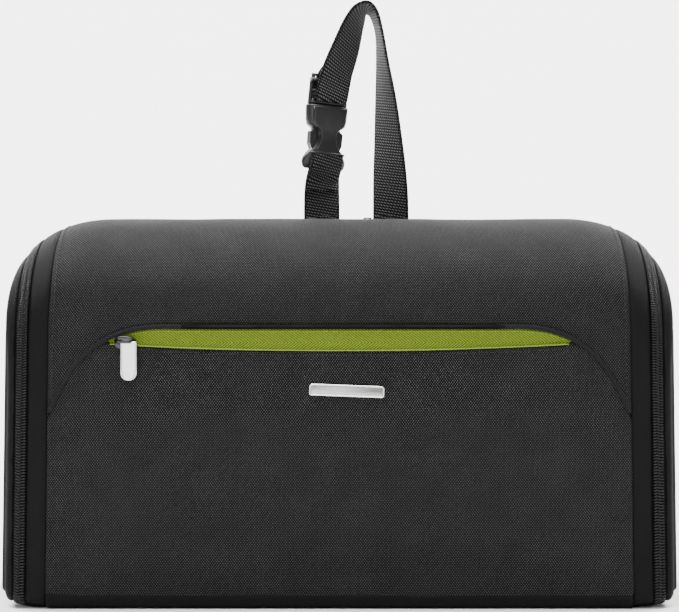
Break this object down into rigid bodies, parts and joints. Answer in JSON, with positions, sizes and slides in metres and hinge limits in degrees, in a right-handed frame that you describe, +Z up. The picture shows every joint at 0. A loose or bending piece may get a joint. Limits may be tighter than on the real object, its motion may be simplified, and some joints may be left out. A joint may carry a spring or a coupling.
{
  "type": "hanging toiletry bag",
  "caption": "Soft zip-round toiletry bag with a fold-down padded cover, a front zip pocket and a webbing hang strap with a side-release buckle",
  "frame": {"origin": "middle of the flat bottom face that the bag rests on", "axes": "+Z up, the front pocket faces -Y, +X to the right seen from the front"},
  "size_m": [0.2918, 0.1025, 0.2758],
  "materials": {
    "ballistic_nylon": "dense charcoal woven nylon with a small dotted weave",
    "plain_nylon": "plain dark charcoal nylon",
    "lime_cloth": "lime green twill",
    "mesh_cloth": "black open mesh",
    "zip_coil": "black nylon coil",
    "webbing": "black ribbed nylon webbing",
    "buckle_plastic": "black moulded acetal, slightly glossy",
    "satin_metal": "satin nickel",
    "dark_metal": "gunmetal"
  },
  "bodies": {
    "tray": {"bottom_panel": "plain_nylon", "back_panel": "plain_nylon", "top_panel": "plain_nylon", "left_end_panel": "plain_nylon", "right_end_panel": "plain_nylon", "back_lining": "lime_cloth", "bottom_lining": "lime_cloth", "left_end_lining": "lime_cloth", "right_end_lining": "lime_cloth", "mesh_pocket": "mesh_cloth", "mesh_pocket_elastic": "plain_nylon", "left_outer_coil": "zip_coil", "right_outer_coil": "zip_coil", "top_outer_coil": "zip_coil", "left_strap_anchor": "webbing", "right_strap_anchor": "webbing"},
    "cover": {"cover_shell": "plain_nylon", "cover_lining": "lime_cloth", "left_side_band": "plain_nylon", "right_side_band": "plain_nylon", "upper_front_panel": "ballistic_nylon", "pocket_panel": "ballistic_nylon", "pocket_zip_tape": "lime_cloth", "arch_piping": "plain_nylon", "badge_plate": "satin_metal", "left_inner_coil": "zip_coil", "right_inner_coil": "zip_coil", "top_inner_coil": "zip_coil"},
    "left_main_slider_body": {"left_main_slider": "dark_metal"},
    "left_main_pull_body": {"left_main_pull": "satin_metal"},
    "right_main_slider_body": {"right_main_slider": "dark_metal"},
    "right_main_pull_body": {"right_main_pull": "satin_metal"},
    "pocket_slider_body": {"pocket_slider": "dark_metal"},
    "pocket_pull_body": {"pocket_pull": "satin_metal"},
    "strap": {"lower_strap": "webbing", "right_strap": "webbing", "buckle_socket": "buckle_plastic"},
    "plug": {"buckle_plug": "buckle_plastic", "upper_strap": "webbing"},
    "left_prong_body": {"left_prong": "buckle_plastic"},
    "right_prong_body": {"right_prong": "buckle_plastic"}
  },
  "joints": [
    {"name": "cover_fold", "type": "hinge", "parent": "tray", "child": "cover", "pos_m": [0, -0.0446, 0.00445], "axis": [1, 0, 0], "range_deg": [0, 90]},
    {"name": "left_main_slide", "type": "slide", "parent": "tray", "child": "left_main_slider_body", "axis": [-1, 0, 0], "range_m": [0, 0.085]},
    {"name": "left_main_pull_swing", "type": "hinge", "parent": "left_main_slider_body", "child": "left_main_pull_body", "pos_m": [-0.013, 0.02215, 0.1706], "axis": [0, 1, 0], "range_deg": [0, 160]},
    {"name": "right_main_slide", "type": "slide", "parent": "tray", "child": "right_main_slider_body", "axis": [1, 0, 0], "range_m": [0, 0.085]},
    {"name": "right_main_pull_swing", "type": "hinge", "parent": "right_main_slider_body", "child": "right_main_pull_body", "pos_m": [0.013, 0.02215, 0.1706], "axis": [0, -1, 0], "range_deg": [0, 160]},
    {"name": "pocket_slide", "type": "slide", "parent": "cover", "child": "pocket_slider_body", "axis": [1, 0, 0], "range_m": [0, 0.176]},
    {"name": "pocket_pull_swing", "type": "hinge", "parent": "pocket_slider_body", "child": "pocket_pull_body", "pos_m": [-0.091, -0.0468, 0.1154], "axis": [-1, 0, 0], "range_deg": [0, 160]},
    {"name": "strap_fold", "type": "hinge", "parent": "tray", "child": "strap", "pos_m": [0, 0.0456, 0.1663], "axis": [1, 0, 0], "range_deg": [-120, 50]},
    {"name": "buckle_release", "type": "slide", "parent": "strap", "child": "plug", "axis": [0.0698, 0, 0.9976], "range_m": [0, 0.025]},
    {"name": "left_prong_squeeze", "type": "hinge", "parent": "plug", "child": "left_prong_body", "pos_m": [-0.01104, 0.04306, 0.22548], "axis": [-0.4529, 0.891, 0.0317], "range_deg": [-7, 0], "stiffness_Nm_per_rad": 0.02},
    {"name": "right_prong_squeeze", "type": "hinge", "parent": "plug", "child": "right_prong_body", "pos_m": [-0.00109, 0.04814, 0.22478], "axis": [-0.4529, 0.891, 0.0317], "range_deg": [0, 7], "stiffness_Nm_per_rad": 0.02}
  ]
}
